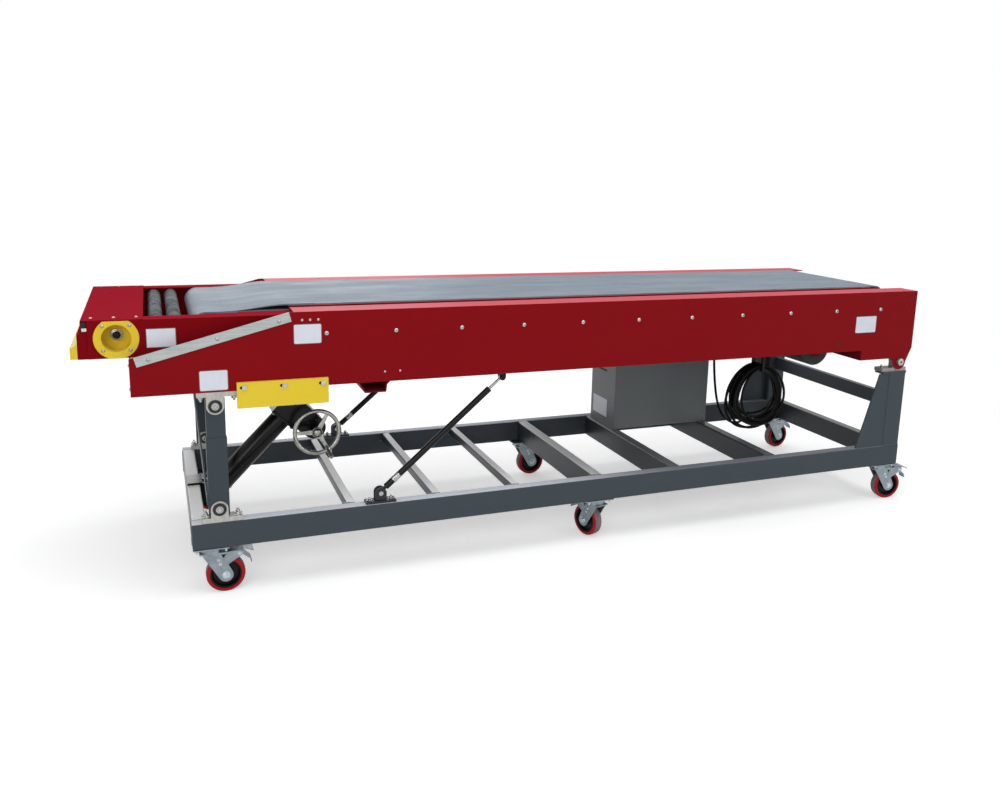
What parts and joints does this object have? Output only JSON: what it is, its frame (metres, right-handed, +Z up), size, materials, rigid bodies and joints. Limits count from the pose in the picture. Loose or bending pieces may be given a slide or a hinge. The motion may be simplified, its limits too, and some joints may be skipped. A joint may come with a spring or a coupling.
{
  "type": "portable extendable belt conveyor",
  "caption": "Wheeled belt conveyor whose nose section runs out of a tilting belt body raised by a screw jack",
  "frame": {"origin": "on the floor below the middle of the closed machine", "axes": "+X towards the rear (tail) end, +Y to the far side (control box side), +Z up"},
  "size_m": [3.3054, 0.903, 0.94],
  "materials": {
    "frame_grey": "satin paint",
    "box_grey": "satin paint",
    "panel_red": "gloss paint",
    "yellow": "gloss paint",
    "dark_steel": "black paint",
    "zinc_steel": "zinc plated",
    "bright_steel": "polished",
    "belt_pvc": "fine woven texture",
    "tyre_red": "smooth",
    "black_plastic": "matt",
    "cable_black": "matt"
  },
  "bodies": {
    "base_frame": {"base_rails": "frame_grey", "base_cross_tubes": "frame_grey", "rear_portal": "frame_grey", "rear_pivots": "zinc_steel", "leg_foot_clevises": "zinc_steel", "strut_feet": "dark_steel", "jack_foot_bracket": "dark_steel", "castor_plates": "zinc_steel", "control_box": "box_grey"},
    "belt_body": {"body_side_panels": "panel_red", "body_cross_channels": "panel_red", "body_deck": "zinc_steel", "body_end_plates": "yellow", "extension_runners": "zinc_steel", "leg_head_clevises": "zinc_steel", "head_brackets": "dark_steel", "edge_strips": "zinc_steel", "leg_guards": "yellow", "main_belt": "belt_pvc", "tail_pulley": "zinc_steel", "cable_coil": "cable_black", "cable_lead": "cable_black"},
    "legs_outer": {"leg_outer_tubes": "frame_grey"},
    "legs_inner": {"leg_inner_tubes": "frame_grey"},
    "jack_upper": {"jack_tube": "dark_steel", "jack_gearbox": "dark_steel"},
    "jack_screw": {"jack_rod": "bright_steel"},
    "jack_handwheel": {"handwheel": "bright_steel"},
    "strut_cylinders": {"strut_cylinders": "dark_steel"},
    "strut_rods": {"strut_rods": "bright_steel"},
    "drive_drum": {"drive_drum": "dark_steel"},
    "extension": {"extension_side_panels": "panel_red", "extension_deck": "zinc_steel", "nose_box": "panel_red", "nose_cover": "panel_red", "front_bumper": "yellow", "button_cups": "yellow", "push_buttons": "black_plastic", "nose_pulley": "zinc_steel", "extension_belt": "belt_pvc"},
    "nose_roller_front": {"nose_roller_front": "zinc_steel"},
    "nose_roller_rear": {"nose_roller_rear": "zinc_steel"},
    "castor_front_near": {"castor_fork_front_near": "zinc_steel"},
    "wheel_front_near": {"castor_hub_front_near": "black_plastic", "castor_tyre_front_near": "tyre_red"},
    "castor_front_far": {"castor_fork_front_far": "zinc_steel"},
    "wheel_front_far": {"castor_hub_front_far": "black_plastic", "castor_tyre_front_far": "tyre_red"},
    "castor_mid_near": {"castor_fork_mid_near": "zinc_steel"},
    "wheel_mid_near": {"castor_hub_mid_near": "black_plastic", "castor_tyre_mid_near": "tyre_red"},
    "castor_mid_far": {"castor_fork_mid_far": "zinc_steel"},
    "wheel_mid_far": {"castor_hub_mid_far": "black_plastic", "castor_tyre_mid_far": "tyre_red"},
    "castor_rear_near": {"castor_fork_rear_near": "zinc_steel"},
    "wheel_rear_near": {"castor_hub_rear_near": "black_plastic", "castor_tyre_rear_near": "tyre_red"},
    "castor_rear_far": {"castor_fork_rear_far": "zinc_steel"},
    "wheel_rear_far": {"castor_hub_rear_far": "black_plastic", "castor_tyre_rear_far": "tyre_red"}
  },
  "joints": [
    {"name": "boom_lift", "type": "hinge", "parent": "base_frame", "child": "belt_body", "pos_m": [1.5305, 0, 0.6285], "axis": [0, 1, 0], "range_deg": [0, 3.25]},
    {"name": "legs_swing", "type": "hinge", "parent": "base_frame", "child": "legs_outer", "pos_m": [-1.2525, 0, 0.298], "axis": [0, 1, 0], "range_deg": [0, 0.545]},
    {"name": "legs_extend", "type": "slide", "parent": "legs_outer", "child": "legs_inner", "axis": [0, 0, 1], "range_m": [0, 0.161]},
    {"name": "jack_swing", "type": "hinge", "parent": "belt_body", "child": "jack_upper", "pos_m": [-0.8725, 0, 0.6], "axis": [0, 1, 0], "range_deg": [-12.13, 0]},
    {"name": "jack_extend", "type": "slide", "parent": "jack_upper", "child": "jack_screw", "axis": [-0.6948, 0, -0.7192], "range_m": [0, 0.107]},
    {"name": "handwheel_spin", "type": "hinge", "parent": "jack_upper", "child": "jack_handwheel", "pos_m": [-0.88585, -0.1, 0.43075], "axis": [0, 1, 0], "continuous": true},
    {"name": "struts_swing", "type": "hinge", "parent": "base_frame", "child": "strut_cylinders", "pos_m": [-0.7245, 0, 0.289], "axis": [0, 1, 0], "range_deg": [-6.74, 0]},
    {"name": "struts_extend", "type": "slide", "parent": "strut_cylinders", "child": "strut_rods", "axis": [0.755, 0, 0.6557], "range_m": [0, 0.076]},
    {"name": "drive_drum_spin", "type": "hinge", "parent": "belt_body", "child": "drive_drum", "pos_m": [1.1225, 0, 0.695], "axis": [0, 1, 0], "continuous": true},
    {"name": "extension_slide", "type": "slide", "parent": "belt_body", "child": "extension", "axis": [-1, 0, 0], "range_m": [0, 1.65]},
    {"name": "nose_roller_front_spin", "type": "hinge", "parent": "extension", "child": "nose_roller_front", "pos_m": [-1.4125, 0, 0.8915], "axis": [0, 1, 0], "continuous": true},
    {"name": "nose_roller_rear_spin", "type": "hinge", "parent": "extension", "child": "nose_roller_rear", "pos_m": [-1.3555, 0, 0.8915], "axis": [0, 1, 0], "continuous": true},
    {"name": "castor_front_near_swivel", "type": "hinge", "parent": "base_frame", "child": "castor_front_near", "pos_m": [-1.282, -0.39, 0.165], "axis": [0, 0, 1], "continuous": true},
    {"name": "wheel_front_near_spin", "type": "hinge", "parent": "castor_front_near", "child": "wheel_front_near", "pos_m": [-1.24, -0.39, 0.0625], "axis": [0, 1, 0], "continuous": true},
    {"name": "castor_front_far_swivel", "type": "hinge", "parent": "base_frame", "child": "castor_front_far", "pos_m": [-1.282, 0.39, 0.165], "axis": [0, 0, 1], "continuous": true},
    {"name": "wheel_front_far_spin", "type": "hinge", "parent": "castor_front_far", "child": "wheel_front_far", "pos_m": [-1.24143, 0.37913, 0.0625], "axis": [0.2588, 0.9659, 0], "continuous": true},
    {"name": "castor_mid_near_swivel", "type": "hinge", "parent": "base_frame", "child": "castor_mid_near", "pos_m": [0.1245, -0.39, 0.165], "axis": [0, 0, 1], "continuous": true},
    {"name": "wheel_mid_near_spin", "type": "hinge", "parent": "castor_mid_near", "child": "wheel_mid_near", "pos_m": [0.11152, -0.35006, 0.0625], "axis": [-0.9511, -0.309, 0], "continuous": true},
    {"name": "castor_mid_far_swivel", "type": "hinge", "parent": "base_frame", "child": "castor_mid_far", "pos_m": [0.1245, 0.39, 0.165], "axis": [0, 0, 1], "continuous": true},
    {"name": "wheel_mid_far_spin", "type": "hinge", "parent": "castor_mid_far", "child": "wheel_mid_far", "pos_m": [0.1664, 0.39293, 0.0625], "axis": [-0.0698, 0.9976, 0], "continuous": true},
    {"name": "castor_rear_near_swivel", "type": "hinge", "parent": "base_frame", "child": "castor_rear_near", "pos_m": [1.519, -0.39, 0.165], "axis": [0, 0, 1], "continuous": true},
    {"name": "wheel_rear_near_spin", "type": "hinge", "parent": "castor_rear_near", "child": "wheel_rear_near", "pos_m": [1.56048, -0.39657, 0.0625], "axis": [0.1564, 0.9877, 0], "continuous": true},
    {"name": "castor_rear_far_swivel", "type": "hinge", "parent": "base_frame", "child": "castor_rear_far", "pos_m": [1.519, 0.39, 0.165], "axis": [0, 0, 1], "continuous": true},
    {"name": "wheel_rear_far_spin", "type": "hinge", "parent": "castor_rear_far", "child": "wheel_rear_far", "pos_m": [1.56077, 0.39439, 0.0625], "axis": [-0.1045, 0.9945, 0], "continuous": true}
  ],
  "couplings": [
    {"joint": "legs_swing", "follows": "boom_lift", "ratio": 0.1644},
    {"joint": "legs_extend", "follows": "boom_lift", "m_per_rad": 2.7819},
    {"joint": "jack_swing", "follows": "boom_lift", "ratio": -3.6589},
    {"joint": "jack_extend", "follows": "boom_lift", "m_per_rad": 1.8454},
    {"joint": "struts_swing", "follows": "boom_lift", "ratio": -2.0326},
    {"joint": "struts_extend", "follows": "boom_lift", "m_per_rad": 1.3152}
  ]
}
